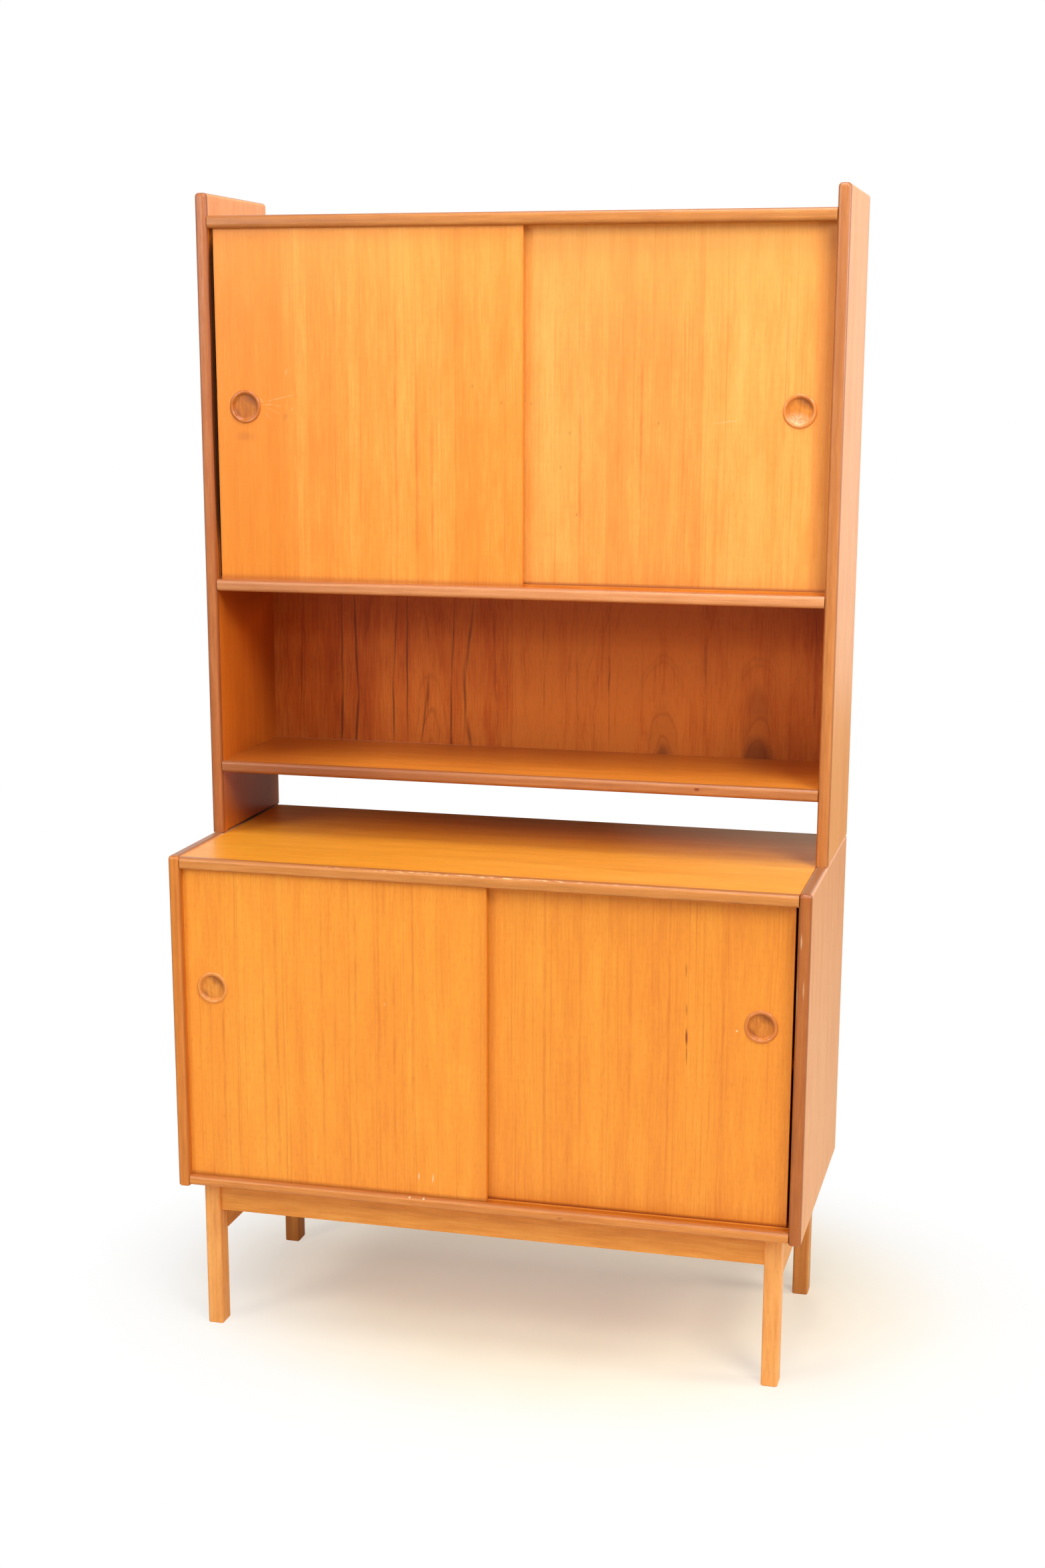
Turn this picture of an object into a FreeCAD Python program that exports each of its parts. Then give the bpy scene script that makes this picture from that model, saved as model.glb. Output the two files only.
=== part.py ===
import FreeCAD, Part
import math
import os

# A two-part teak highboard: a lower cabinet on a leg frame, an upper cabinet standing on it,
# and two sliding doors in each. Millimetres, +Z up, front towards -Y,
# origin on the floor under the middle of the lower cabinet.

# Overall sizes
CABINET_WIDTH = 1000.0
LOWER_DEPTH = 440.0
UPPER_DEPTH = 255.0
SIDE_THICKNESS = 19.0

# Heights of the lower cabinet, from the floor up
LEG_HEIGHT = 247.0
SIDE_DROP = 2.0
BOTTOM_THICKNESS = 17.0
LOWER_OPENING = 502.0
LOWER_TOP_THICKNESS = 19.0
LOWER_SIDE_RISE = 2.5

# Heights of the upper cabinet, from the lower sides up
UNDER_SHELF_GAP = 99.0
OPEN_SHELF_THICKNESS = 19.0
BAY_HEIGHT = 273.0
MID_THICKNESS = 22.0
UPPER_OPENING = 530.5
UPPER_TOP_THICKNESS = 19.0
UPPER_SIDE_RISE = 33.5
FOOT_RELIEF_HEIGHT = 1.5
FOOT_RELIEF_FRONT = 18.0
FOOT_RELIEF_BACK = 25.0

# Edges and lippings
LIPPING_DEPTH = 8.0
BOARD_SET_BACK = 1.5
EDGE_ROUND = 6.0
FOOT_ROUND = 3.0
BOTTOM_LIPPING_DROP = 1.0
MID_LIPPING_DROP = 3.5

# Sliding doors and their tracks
DOOR_THICKNESS = 8.0
DOOR_SET_BACK = 13.0
DOOR_GAP = 5.5
DOOR_OVERLAP = 18.0
DOOR_SIDE_ENTRY = 2.0
TRACK_CLEARANCE = 0.25
BOTTOM_TRACK_DEPTH = 6.0
TOP_TRACK_DEPTH = 11.0
DOOR_FOOT_CLEARANCE = 0.3
DOOR_TOP_ENTRY = 4.5
SIDE_GROOVE_DEPTH = 3.0
LOWER_LEFT_AJAR = 0.0
LOWER_RIGHT_AJAR = 8.5
UPPER_LEFT_AJAR = 7.0
UPPER_RIGHT_AJAR = 3.5

# Turned cup pulls
PULL_DIAMETER = 51.0
PULL_RING_WIDTH = 5.5
PULL_PROUD = 2.5
PULL_DISH_DEPTH = 5.5
PULL_DISH_CORNER = 3.0
PULL_SPIGOT_DIAMETER = 44.0
PULL_SPIGOT_LENGTH = 6.0
PULL_CLEARANCE = 0.15
PULL_EDGE_DISTANCE = 46.5
LOWER_PULL_HEIGHT = 312.0
UPPER_PULL_HEIGHT = 264.0

# Leg frame
LEG_WIDTH = 26.0
LEG_DEPTH = 34.0
LEG_SIDE_INSET = 32.0
LEG_FRONT_INSET = 29.0
LEG_BACK_INSET = 18.0
LEG_ROUND = 4.0
FOOT_EASE = 2.0
RAIL_THICKNESS = 20.0
RAIL_INSET = 6.0
FRONT_RAIL_HEIGHT = 50.0
REAR_RAIL_HEIGHT = 50.0
SIDE_RAIL_HEIGHT = 90.0
TENON_THICKNESS = 8.0
TENON_LENGTH = 12.0
TENON_SHOULDER = 8.0
MORTISE_CLEARANCE = 0.15
MORTISE_END_GAP = 0.8
CORNER_BLOCK_LEG = 48.0
CORNER_BLOCK_HEIGHT = 22.0

# Back panels
BACK_THICKNESS = 5.0
BACK_RABBET = 8.0
BACK_CLEARANCE = 0.3

# Dividers, inner shelves and their pins
DIVIDER_THICKNESS = 16.0
DIVIDER_DOOR_GAP = 4.0
HOUSING_DEPTH = 4.0
HOUSING_CLEARANCE = 0.15
INNER_SHELF_THICKNESS = 16.0
INNER_SHELF_FRONT_GAP = 18.0
INNER_SHELF_SIDE_GAP = 0.8
LOWER_SHELF_HEIGHT = 240.0
UPPER_SHELF_HEIGHT = 262.0
PIN_DIAMETER = 5.0
PIN_IN = 7.0
PIN_OUT = 10.0
PIN_CLEARANCE = 0.1
PIN_END_GAP = 0.5
PIN_EDGE_DISTANCE = 40.0

# Dowels and screws
DOWEL_DIAMETER = 8.0
DOWEL_LENGTH = 30.0
DOWEL_IN_SIDE = 11.0
DOWEL_CLEARANCE = 0.1
DOWEL_END_GAP = 0.6
DOWEL_FRONT_DISTANCE = 75.0
DOWEL_BACK_DISTANCE = 45.0
LOWER_DOWEL_COUNT = 4
UPPER_DOWEL_COUNT = 3
STACKING_DOWEL_FRONT = 45.0
STACKING_DOWEL_BACK = 70.0
SCREW_HEAD_DIAMETER = 7.0
SCREW_HEAD_HEIGHT = 2.2
SCREW_SHANK_DIAMETER = 3.2
BACK_SCREW_LENGTH = 18.0
BASE_SCREW_LENGTH = 32.0
SCREW_SLOT_WIDTH = 0.9
SCREW_SLOT_DEPTH = 0.8
SCREW_CLEARANCE = 0.1
BACK_COLUMNS = 4
BACK_SIDE_SCREWS = 2

# Planes that follow from the sizes above
HALF_WIDTH = CABINET_WIDTH / 2
INNER_HALF = HALF_WIDTH - SIDE_THICKNESS
LOWER_FRONT = -LOWER_DEPTH / 2
BACK = LOWER_DEPTH / 2
UPPER_FRONT = BACK - UPPER_DEPTH
PANEL_FRONT = BACK - BACK_THICKNESS

BOTTOM_Z = LEG_HEIGHT
BOTTOM_TOP_Z = BOTTOM_Z + BOTTOM_THICKNESS
LOWER_TOP_Z = BOTTOM_TOP_Z + LOWER_OPENING
LOWER_SIDE_Z = BOTTOM_Z - SIDE_DROP
LOWER_SIDE_TOP_Z = LOWER_TOP_Z + LOWER_TOP_THICKNESS + LOWER_SIDE_RISE
SHELF_Z = LOWER_SIDE_TOP_Z + UNDER_SHELF_GAP
MID_Z = SHELF_Z + OPEN_SHELF_THICKNESS + BAY_HEIGHT
MID_TOP_Z = MID_Z + MID_THICKNESS
UPPER_TOP_Z = MID_TOP_Z + UPPER_OPENING
UPPER_SIDE_TOP_Z = UPPER_TOP_Z + UPPER_TOP_THICKNESS + UPPER_SIDE_RISE

FRONT_TRACK = DOOR_SET_BACK - TRACK_CLEARANCE
REAR_TRACK = FRONT_TRACK + DOOR_THICKNESS + DOOR_GAP
TRACK_WIDTH = DOOR_THICKNESS + 2 * TRACK_CLEARANCE
DIVIDER_SET_BACK = REAR_TRACK + TRACK_WIDTH + DIVIDER_DOOR_GAP
DOOR_WIDTH = INNER_HALF + DOOR_SIDE_ENTRY + DOOR_OVERLAP / 2
TOLERANCE = 1e-4
OVERSHOOT = 1.0

os.makedirs("parts", exist_ok=True)


# Small helpers

def vector(x, y, z):
    return FreeCAD.Vector(x, y, z)


def box(x0, x1, y0, y1, z0, z1):
    return Part.makeBox(x1 - x0, y1 - y0, z1 - z0, vector(x0, y0, z0))


def rod(diameter, start, direction, length):
    return Part.makeCylinder(diameter / 2, length, start, direction)


def near(a, b):
    return abs(a - b) < TOLERANCE


def edges_at(solid, test):
    return [edge for edge in solid.Edges if test(edge.CenterOfMass)]


def cut_all(solid, cutters):
    return solid.cut(Part.makeCompound(cutters)) if cutters else solid


def save(name, solids):
    group = solids if isinstance(solids, list) else [solids]
    shape = group[0] if len(group) == 1 else Part.makeCompound(group)
    shape.exportStep("parts/" + name + ".step")


def spread(first, last, count):
    return [first + (last - first) * step / (count - 1) for step in range(count)]


# Dowels: the same list of places drills the holes and makes the dowels

def board_dowel_places(front, board_z, thickness, count):
    rows = spread(front + DOWEL_FRONT_DISTANCE, BACK - DOWEL_BACK_DISTANCE, count)
    return [(side, y, board_z + thickness / 2) for side in (-1, 1) for y in rows]


def board_dowel(place, clearance, end_gap):
    side, y, z = place
    start = vector(side * (INNER_HALF + DOWEL_IN_SIDE + end_gap), y, z)
    return rod(DOWEL_DIAMETER + 2 * clearance, start, vector(-side, 0, 0), DOWEL_LENGTH + 2 * end_gap)


def board_dowel_holes(places):
    return [board_dowel(place, DOWEL_CLEARANCE, DOWEL_END_GAP) for place in places]


def stacking_dowel(side, y, clearance, end_gap):
    start = vector(side * (HALF_WIDTH - SIDE_THICKNESS / 2), y, LOWER_SIDE_TOP_Z - DOWEL_LENGTH / 2 - end_gap)
    return rod(DOWEL_DIAMETER + 2 * clearance, start, vector(0, 0, 1), DOWEL_LENGTH + 2 * end_gap)


# Countersunk slotted screws: the same places drill the holes and make the screws

def screw(length, clearance):
    head = Part.makeCone(SCREW_HEAD_DIAMETER / 2 + clearance, SCREW_SHANK_DIAMETER / 2 + clearance,
                         SCREW_HEAD_HEIGHT)
    return head.fuse(rod(SCREW_SHANK_DIAMETER + 2 * clearance, vector(0, 0, 0), vector(0, 0, 1),
                         length + clearance)).removeSplitter()


def slotted_screw(length):
    half = SCREW_HEAD_DIAMETER
    slot = box(-half, half, -SCREW_SLOT_WIDTH / 2, SCREW_SLOT_WIDTH / 2, -SCREW_SLOT_DEPTH, SCREW_SLOT_DEPTH)
    return screw(length, 0).cut(slot)


def back_placed(shape, x, z):
    placed = shape.copy()
    placed.rotate(vector(0, 0, 0), vector(1, 0, 0), 90)
    placed.translate(vector(x, BACK, z))
    return placed


def back_screw_places(board_rows, side_from, side_to):
    across = spread(-INNER_HALF + DOWEL_BACK_DISTANCE, INNER_HALF - DOWEL_BACK_DISTANCE, BACK_COLUMNS)
    places = [(x, z) for z in board_rows for x in across]
    edge = INNER_HALF + BACK_RABBET / 2
    rows = spread(side_from, side_to, BACK_SIDE_SCREWS + 2)[1:-1]
    return places + [(side * edge, z) for side in (-1, 1) for z in rows]


def back_screw_holes(places):
    tool = screw(BACK_SCREW_LENGTH, SCREW_CLEARANCE)
    return [back_placed(tool, x, z) for x, z in places]


def back_screws(places):
    return [back_placed(slotted_screw(BACK_SCREW_LENGTH), x, z) for x, z in places]


# Carcase pieces

def rounded_side(side, front, z0, z1, foot_round):
    x0, x1 = sorted((side * INNER_HALF, side * HALF_WIDTH))
    solid = box(x0, x1, front, BACK, z0, z1)
    solid = solid.makeFillet(EDGE_ROUND, edges_at(solid, lambda c: (
        (near(c.y, front) and not near(c.z, z0)) or (near(c.z, z1) and not near(c.y, BACK)))))
    if foot_round:
        solid = solid.makeFillet(foot_round, edges_at(solid, lambda c: near(c.z, z0) and not near(c.y, BACK)))
    return solid


def door_groove(side, front, opening_z, opening_top_z):
    start = front + (FRONT_TRACK if side < 0 else REAR_TRACK)
    x0, x1 = sorted((side * (INNER_HALF - TRACK_CLEARANCE), side * (INNER_HALF + SIDE_GROOVE_DEPTH)))
    z0, z1 = opening_z - BOTTOM_TRACK_DEPTH, opening_top_z + TOP_TRACK_DEPTH
    return box(x0, x1, start, start + TRACK_WIDTH, z0, z1)


def side_rabbet(side, z0, z1):
    x0, x1 = sorted((side * (INNER_HALF - BACK_CLEARANCE), side * (INNER_HALF + BACK_RABBET)))
    return box(x0, x1, PANEL_FRONT, BACK + BACK_THICKNESS, z0 - BACK_CLEARANCE, z1 + BACK_CLEARANCE)


def save_side(name, solid, front, cutters):
    body = cut_all(solid, cutters)
    strip = box(-CABINET_WIDTH, CABINET_WIDTH, front, front + LIPPING_DEPTH, 0, UPPER_SIDE_TOP_Z)
    save(name, body.cut(strip))
    save(name + "_lipping", body.common(strip))


def lipping(front, depth, z0, z1):
    y0 = front + BOARD_SET_BACK
    solid = box(-INNER_HALF, INNER_HALF, y0, y0 + depth, z0, z1)
    return solid.makeFillet(EDGE_ROUND, edges_at(solid, lambda c: near(c.y, y0) and near(c.x, 0)))


def track_cuts(front, z0, z1):
    starts = (front + FRONT_TRACK, front + REAR_TRACK)
    return [box(-CABINET_WIDTH, CABINET_WIDTH, y, y + TRACK_WIDTH, z0, z1) for y in starts]


def housing(front, z0, z1):
    half = DIVIDER_THICKNESS / 2 + HOUSING_CLEARANCE
    y0 = front + DIVIDER_SET_BACK - HOUSING_CLEARANCE
    return box(-half, half, y0, BACK + OVERSHOOT, z0, z1)


def back_rabbet_cut(z):
    return box(-CABINET_WIDTH, CABINET_WIDTH, PANEL_FRONT, BACK + BACK_THICKNESS, z - BACK_RABBET,
               z + BACK_RABBET + BACK_CLEARANCE)


def save_track_board(name, front, z0, z1, drop, cutters, back):
    body = box(-INNER_HALF, INNER_HALF, front + FRONT_TRACK, back, z0, z1)
    save(name + "_board", cut_all(body, cutters))
    save(name + "_lipping", lipping(front, FRONT_TRACK - BOARD_SET_BACK, z0, z1 - drop))


def lower_board_cuts(front, z1):
    return track_cuts(front, z1 - BOTTOM_TRACK_DEPTH, z1 + OVERSHOOT) + [
        housing(front, z1 - HOUSING_DEPTH, z1 + OVERSHOOT)]


def upper_board_cuts(front, z0):
    return track_cuts(front, z0 - OVERSHOOT, z0 + TOP_TRACK_DEPTH) + [
        housing(front, z0 - OVERSHOOT, z0 + HOUSING_DEPTH), back_rabbet_cut(z0)]


# Dividers and inner shelves

def pin_places(front, shelf_z):
    front_y = front + DIVIDER_SET_BACK + INNER_SHELF_FRONT_GAP + PIN_EDGE_DISTANCE
    rows = (front_y, PANEL_FRONT - PIN_EDGE_DISTANCE)
    walls = ((-INNER_HALF, 1), (-DIVIDER_THICKNESS / 2, -1), (DIVIDER_THICKNESS / 2, 1), (INNER_HALF, -1))
    z = shelf_z - PIN_DIAMETER / 2 - PIN_CLEARANCE
    return [(wall, way, y, z) for wall, way in walls for y in rows]


def pin(place, clearance, end_gap):
    wall, way, y, z = place
    start = vector(wall - way * (PIN_IN + end_gap), y, z)
    return rod(PIN_DIAMETER + 2 * clearance, start, vector(way, 0, 0), PIN_IN + PIN_OUT + end_gap)


def pin_holes(places):
    return [pin(place, PIN_CLEARANCE, PIN_END_GAP) for place in places]


def divider(front, z0, z1, pins):
    half = DIVIDER_THICKNESS / 2
    grip = HOUSING_DEPTH - HOUSING_CLEARANCE
    body = box(-half, half, front + DIVIDER_SET_BACK, PANEL_FRONT, z0 - grip, z1 + grip)
    return cut_all(body, pin_holes(pins))


def inner_shelf(side, front, z):
    near_x = DIVIDER_THICKNESS / 2 + INNER_SHELF_SIDE_GAP
    far_x = INNER_HALF - INNER_SHELF_SIDE_GAP
    x0, x1 = sorted((side * near_x, side * far_x))
    y0 = front + DIVIDER_SET_BACK + INNER_SHELF_FRONT_GAP
    return box(x0, x1, y0, PANEL_FRONT - INNER_SHELF_SIDE_GAP, z, z + INNER_SHELF_THICKNESS)


# Doors and pulls

def pull_profile():
    outer = PULL_DIAMETER / 2
    spigot = PULL_SPIGOT_DIAMETER / 2
    inner = outer - PULL_RING_WIDTH
    crest = outer - PULL_RING_WIDTH / 2
    floor = PULL_PROUD - PULL_DISH_DEPTH
    corner = inner - PULL_DISH_CORNER
    start = vector(0, 0, floor)
    dish_end = vector(corner, 0, floor)
    dish_wall = vector(inner, 0, floor + PULL_DISH_CORNER)
    turn = PULL_DISH_CORNER * math.sqrt(0.5)
    bend = vector(corner + turn, 0, floor + PULL_DISH_CORNER - turn)
    ring_inner = vector(inner, 0, PULL_PROUD / 2)
    ring_top = vector(crest, 0, PULL_PROUD)
    ring_outer = vector(outer, 0, 0)
    foot = [vector(spigot, 0, 0), vector(spigot, 0, -PULL_SPIGOT_LENGTH), vector(0, 0, -PULL_SPIGOT_LENGTH)]
    edges = [Part.makeLine(start, dish_end), Part.Arc(dish_end, bend, dish_wall).toShape(),
             Part.makeLine(dish_wall, ring_inner), Part.Arc(ring_inner, ring_top, ring_outer).toShape()]
    rest = [ring_outer] + foot + [start]
    edges += [Part.makeLine(a, b) for a, b in zip(rest, rest[1:])]
    return Part.Face(Part.Wire(edges))


def pull(x, face_y, z):
    solid = pull_profile().revolve(vector(0, 0, 0), vector(0, 0, 1), 360)
    solid.rotate(vector(0, 0, 0), vector(1, 0, 0), 90)
    solid.translate(vector(x, face_y, z))
    return solid


def door(x0, face_y, z0, z1, pull_x, pull_z):
    body = box(x0, x0 + DOOR_WIDTH, face_y, face_y + DOOR_THICKNESS, z0, z1)
    hole_diameter = PULL_SPIGOT_DIAMETER + 2 * PULL_CLEARANCE
    hole_depth = PULL_SPIGOT_LENGTH + PULL_CLEARANCE
    return body.cut(rod(hole_diameter, vector(pull_x, face_y, pull_z), vector(0, 1, 0), hole_depth))


def save_door(name, side, front, opening_z, opening_top_z, ajar, pull_height):
    face_y = front + TRACK_CLEARANCE + (FRONT_TRACK if side < 0 else REAR_TRACK)
    outer_edge = side * (INNER_HALF + DOOR_SIDE_ENTRY - ajar)
    x0 = min(outer_edge, outer_edge - side * DOOR_WIDTH)
    z0 = opening_z - BOTTOM_TRACK_DEPTH + DOOR_FOOT_CLEARANCE
    pull_x = outer_edge - side * PULL_EDGE_DISTANCE
    pull_z = opening_z + pull_height
    save(name + "_door", door(x0, face_y, z0, opening_top_z + DOOR_TOP_ENTRY, pull_x, pull_z))
    save(name + "_pull", pull(pull_x, face_y, pull_z))


# Leg frame

LEG_OUTER = HALF_WIDTH - LEG_SIDE_INSET
LEG_INNER = LEG_OUTER - LEG_WIDTH
FRONT_LEG_Y = LOWER_FRONT + LEG_FRONT_INSET
REAR_LEG_Y = BACK - LEG_BACK_INSET - LEG_DEPTH
FRONT_RAIL_Y = FRONT_LEG_Y + RAIL_INSET
REAR_RAIL_Y = REAR_LEG_Y + LEG_DEPTH - RAIL_INSET - RAIL_THICKNESS
SIDE_RAIL_OUTER = LEG_OUTER - RAIL_INSET


def cross_rail(y, height, clearance, end_gap):
    z0 = LEG_HEIGHT - height
    body = box(-LEG_INNER, LEG_INNER, y, y + RAIL_THICKNESS, z0, LEG_HEIGHT)
    middle = y + RAIL_THICKNESS / 2
    half = TENON_THICKNESS / 2 + clearance
    reach = LEG_INNER + TENON_LENGTH + end_gap
    shoulder = TENON_SHOULDER - clearance
    tenon = box(-reach, reach, middle - half, middle + half, z0 + shoulder, LEG_HEIGHT - shoulder)
    return body.fuse(tenon).removeSplitter()


def side_rail(side, clearance, end_gap):
    z0 = LEG_HEIGHT - SIDE_RAIL_HEIGHT
    x0, x1 = sorted((side * SIDE_RAIL_OUTER, side * (SIDE_RAIL_OUTER - RAIL_THICKNESS)))
    body = box(x0, x1, FRONT_LEG_Y + LEG_DEPTH, REAR_LEG_Y, z0, LEG_HEIGHT)
    middle = (x0 + x1) / 2
    half = TENON_THICKNESS / 2 + clearance
    reach = TENON_LENGTH + end_gap
    shoulder = TENON_SHOULDER - clearance
    tenon = box(middle - half, middle + half, FRONT_LEG_Y + LEG_DEPTH - reach, REAR_LEG_Y + reach,
                z0 + shoulder, LEG_HEIGHT - shoulder)
    return body.fuse(tenon).removeSplitter()


def leg(side, y, mortises):
    x0, x1 = sorted((side * LEG_OUTER, side * LEG_INNER))
    solid = box(x0, x1, y, y + LEG_DEPTH, 0, LEG_HEIGHT)
    solid = solid.makeFillet(LEG_ROUND, edges_at(solid, lambda c: near(c.z, LEG_HEIGHT / 2)))
    solid = solid.makeFillet(FOOT_EASE, edges_at(solid, lambda c: near(c.z, 0)))
    return cut_all(solid, mortises)


def corner_block(side, back_side):
    x = side * (SIDE_RAIL_OUTER - RAIL_THICKNESS)
    y = REAR_RAIL_Y if back_side else FRONT_RAIL_Y + RAIL_THICKNESS
    way = -1 if back_side else 1
    z = LEG_HEIGHT - CORNER_BLOCK_HEIGHT
    reach = LEG_DEPTH - RAIL_INSET - RAIL_THICKNESS
    corners = [vector(x - side * CORNER_BLOCK_LEG, y, z), vector(x, y + way * CORNER_BLOCK_LEG, z),
               vector(x, y + way * reach, z), vector(x - side * reach, y, z)]
    outline = Part.makePolygon(corners + corners[:1])
    return Part.Face(outline).extrude(vector(0, 0, CORNER_BLOCK_HEIGHT))


def base_screw_place(side, back_side):
    way = -1 if back_side else 1
    y = REAR_RAIL_Y if back_side else FRONT_RAIL_Y + RAIL_THICKNESS
    inward = CORNER_BLOCK_LEG / 3
    x = side * (SIDE_RAIL_OUTER - RAIL_THICKNESS - inward)
    return vector(x, y + way * inward, LEG_HEIGHT - CORNER_BLOCK_HEIGHT)


def base_placed(shape, place):
    placed = shape.copy()
    placed.translate(place)
    return placed


# Places shared by the pieces that meet

CORNERS = [(side, back_side) for side in (-1, 1) for back_side in (False, True)]
BASE_SCREW_PLACES = [base_screw_place(side, back_side) for side, back_side in CORNERS]
BASE_SCREW_HOLES = [base_placed(screw(BASE_SCREW_LENGTH, SCREW_CLEARANCE), place)
                    for place in BASE_SCREW_PLACES]

LOWER_BOTTOM_DOWELS = board_dowel_places(LOWER_FRONT, BOTTOM_Z, BOTTOM_THICKNESS, LOWER_DOWEL_COUNT)
LOWER_TOP_DOWELS = board_dowel_places(LOWER_FRONT, LOWER_TOP_Z, LOWER_TOP_THICKNESS, LOWER_DOWEL_COUNT)
UPPER_SHELF_DOWELS = board_dowel_places(UPPER_FRONT, SHELF_Z, OPEN_SHELF_THICKNESS, UPPER_DOWEL_COUNT)
UPPER_MID_DOWELS = board_dowel_places(UPPER_FRONT, MID_Z, MID_THICKNESS, UPPER_DOWEL_COUNT)
UPPER_TOP_DOWELS = board_dowel_places(UPPER_FRONT, UPPER_TOP_Z, UPPER_TOP_THICKNESS, UPPER_DOWEL_COUNT)
LOWER_DOWELS = LOWER_BOTTOM_DOWELS + LOWER_TOP_DOWELS
UPPER_DOWELS = UPPER_SHELF_DOWELS + UPPER_MID_DOWELS + UPPER_TOP_DOWELS
STACKING_PLACES = [(side, y) for side in (-1, 1)
                   for y in (UPPER_FRONT + STACKING_DOWEL_FRONT, BACK - STACKING_DOWEL_BACK)]
STACKING_HOLES = [stacking_dowel(side, y, DOWEL_CLEARANCE, DOWEL_END_GAP) for side, y in STACKING_PLACES]

LOWER_PINS = pin_places(LOWER_FRONT, BOTTOM_TOP_Z + LOWER_SHELF_HEIGHT)
UPPER_PINS = pin_places(UPPER_FRONT, MID_TOP_Z + UPPER_SHELF_HEIGHT)

LOWER_BACK_TOP = LOWER_TOP_Z + BACK_RABBET
UPPER_BACK_TOP = UPPER_TOP_Z + BACK_RABBET
LOWER_BACK_PLACES = back_screw_places([BOTTOM_Z + BOTTOM_THICKNESS / 2, LOWER_TOP_Z + BACK_RABBET / 2],
                                      BOTTOM_TOP_Z, LOWER_TOP_Z)
UPPER_BACK_PLACES = back_screw_places([SHELF_Z + OPEN_SHELF_THICKNESS / 2, MID_Z + MID_THICKNESS / 2,
                                       UPPER_TOP_Z + BACK_RABBET / 2], MID_TOP_Z, UPPER_TOP_Z)
LOWER_BACK_HOLES = back_screw_holes(LOWER_BACK_PLACES)
UPPER_BACK_HOLES = back_screw_holes(UPPER_BACK_PLACES)


def build_lower_cabinet():
    for side, word in ((-1, "left"), (1, "right")):
        body = rounded_side(side, LOWER_FRONT, LOWER_SIDE_Z, LOWER_SIDE_TOP_Z, FOOT_ROUND)
        cutters = [door_groove(side, LOWER_FRONT, BOTTOM_TOP_Z, LOWER_TOP_Z),
                   side_rabbet(side, BOTTOM_Z, LOWER_BACK_TOP)]
        cutters += board_dowel_holes(LOWER_DOWELS) + pin_holes(LOWER_PINS) + STACKING_HOLES + LOWER_BACK_HOLES
        save_side("lower_" + word + "_side", body, LOWER_FRONT, cutters)
        save("lower_" + word + "_shelf", inner_shelf(side, LOWER_FRONT, BOTTOM_TOP_Z + LOWER_SHELF_HEIGHT))

    cuts = lower_board_cuts(LOWER_FRONT, BOTTOM_TOP_Z) + board_dowel_holes(LOWER_BOTTOM_DOWELS)
    save_track_board("lower_bottom", LOWER_FRONT, BOTTOM_Z, BOTTOM_TOP_Z, BOTTOM_LIPPING_DROP,
                     cuts + LOWER_BACK_HOLES + BASE_SCREW_HOLES, PANEL_FRONT)
    cuts = upper_board_cuts(LOWER_FRONT, LOWER_TOP_Z) + board_dowel_holes(LOWER_TOP_DOWELS)
    save_track_board("lower_top", LOWER_FRONT, LOWER_TOP_Z, LOWER_TOP_Z + LOWER_TOP_THICKNESS, 0,
                     cuts + LOWER_BACK_HOLES, BACK)

    reach = INNER_HALF + BACK_RABBET - BACK_CLEARANCE
    panel = box(-reach, reach, PANEL_FRONT, BACK, BOTTOM_Z, LOWER_BACK_TOP)
    save("lower_back_panel", cut_all(panel, LOWER_BACK_HOLES))
    save("lower_divider", divider(LOWER_FRONT, BOTTOM_TOP_Z, LOWER_TOP_Z, LOWER_PINS))
    save("lower_shelf_pins", [pin(place, 0, 0) for place in LOWER_PINS])
    save("lower_back_screws", back_screws(LOWER_BACK_PLACES))
    save("lower_carcase_dowels", [board_dowel(place, 0, 0) for place in LOWER_DOWELS])
    save_door("lower_left", -1, LOWER_FRONT, BOTTOM_TOP_Z, LOWER_TOP_Z, LOWER_LEFT_AJAR, LOWER_PULL_HEIGHT)
    save_door("lower_right", 1, LOWER_FRONT, BOTTOM_TOP_Z, LOWER_TOP_Z, LOWER_RIGHT_AJAR, LOWER_PULL_HEIGHT)


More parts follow.
